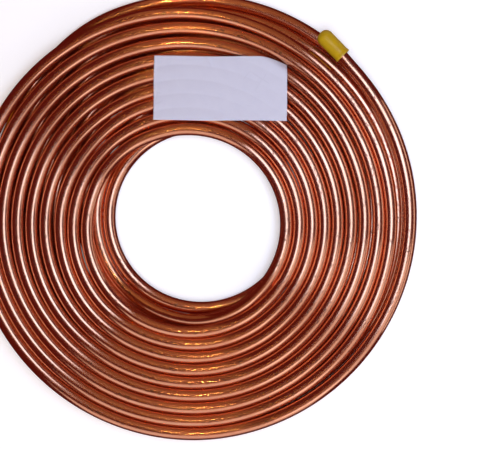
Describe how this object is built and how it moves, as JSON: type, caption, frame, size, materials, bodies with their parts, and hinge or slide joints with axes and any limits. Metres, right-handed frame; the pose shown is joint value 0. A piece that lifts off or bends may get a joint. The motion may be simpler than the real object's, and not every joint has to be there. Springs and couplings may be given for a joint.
{
  "type": "copper tube coil",
  "caption": "Soft copper tube wound flat in two layers around an open middle, with a plastic cap on each tube end and a blank paper label across the turns.",
  "frame": {"origin": "centre of the coil's outline, on the plane it lies on", "axes": "+Z along the coil's axis, up; the upper tube end lies towards +X and +Y, and the label towards +Y"},
  "size_m": [0.334, 0.334, 0.0224],
  "materials": {
    "copper": "bright drawn copper, lightly tarnished",
    "cap_plastic": "soft yellow vinyl, satin",
    "label_paper": "smooth coated paper"
  },
  "bodies": {
    "root": {"tube_coil": "copper", "upper_end_cap": "cap_plastic", "lower_end_cap": "cap_plastic", "paper_label": "label_paper"}
  },
  "joints": []
}
